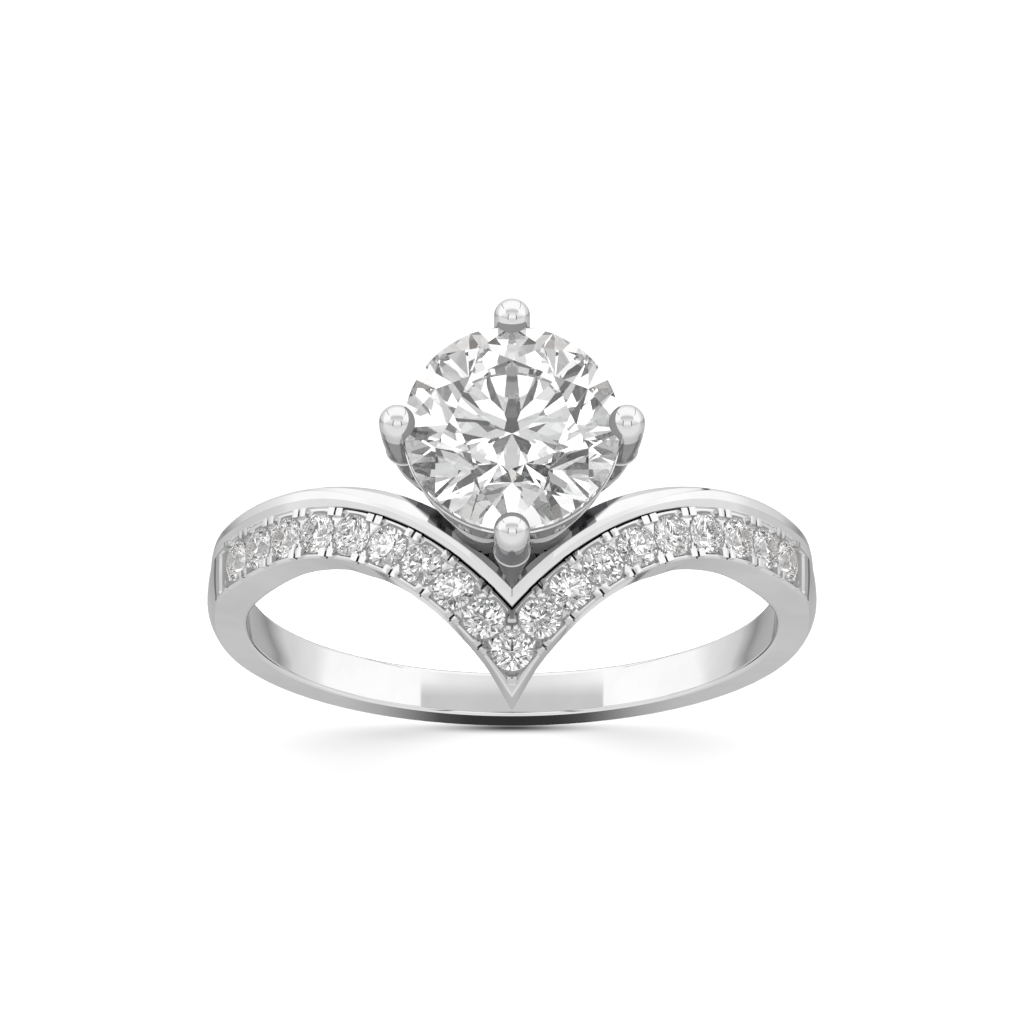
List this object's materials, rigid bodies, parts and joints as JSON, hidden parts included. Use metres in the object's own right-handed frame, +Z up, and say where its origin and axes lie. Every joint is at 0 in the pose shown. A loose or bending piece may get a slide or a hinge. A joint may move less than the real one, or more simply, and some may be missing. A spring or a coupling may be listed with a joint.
{
  "type": "engagement ring",
  "caption": "Pave chevron engagement ring: a round centre stone held by ball-tipped prongs above a V-shaped band set with small round stones.",
  "frame": {"origin": "centre of the ring's bounding box, at its base", "axes": "+X across the finger, +Y from the centre stone towards the bottom of the band, +Z up, along the finger but for the tilt of 7.3 degrees at which the ring rests"},
  "size_m": [0.019, 0.026, 0.0096],
  "materials": {
    "white_gold": "polished white gold",
    "diamond": "cut and polished diamond"
  },
  "bodies": {
    "root": {"metal": "white_gold", "centre_stone": "diamond", "pave_stone_01": "diamond", "pave_stone_02": "diamond", "pave_stone_03": "diamond", "pave_stone_04": "diamond", "pave_stone_05": "diamond", "pave_stone_06": "diamond", "pave_stone_07": "diamond", "pave_stone_08": "diamond", "pave_stone_09": "diamond", "pave_stone_10": "diamond", "pave_stone_11": "diamond", "pave_stone_12": "diamond", "pave_stone_13": "diamond", "pave_stone_14": "diamond", "pave_stone_15": "diamond", "pave_stone_16": "diamond", "pave_stone_17": "diamond", "pave_stone_18": "diamond", "pave_stone_19": "diamond"}
  },
  "joints": []
}
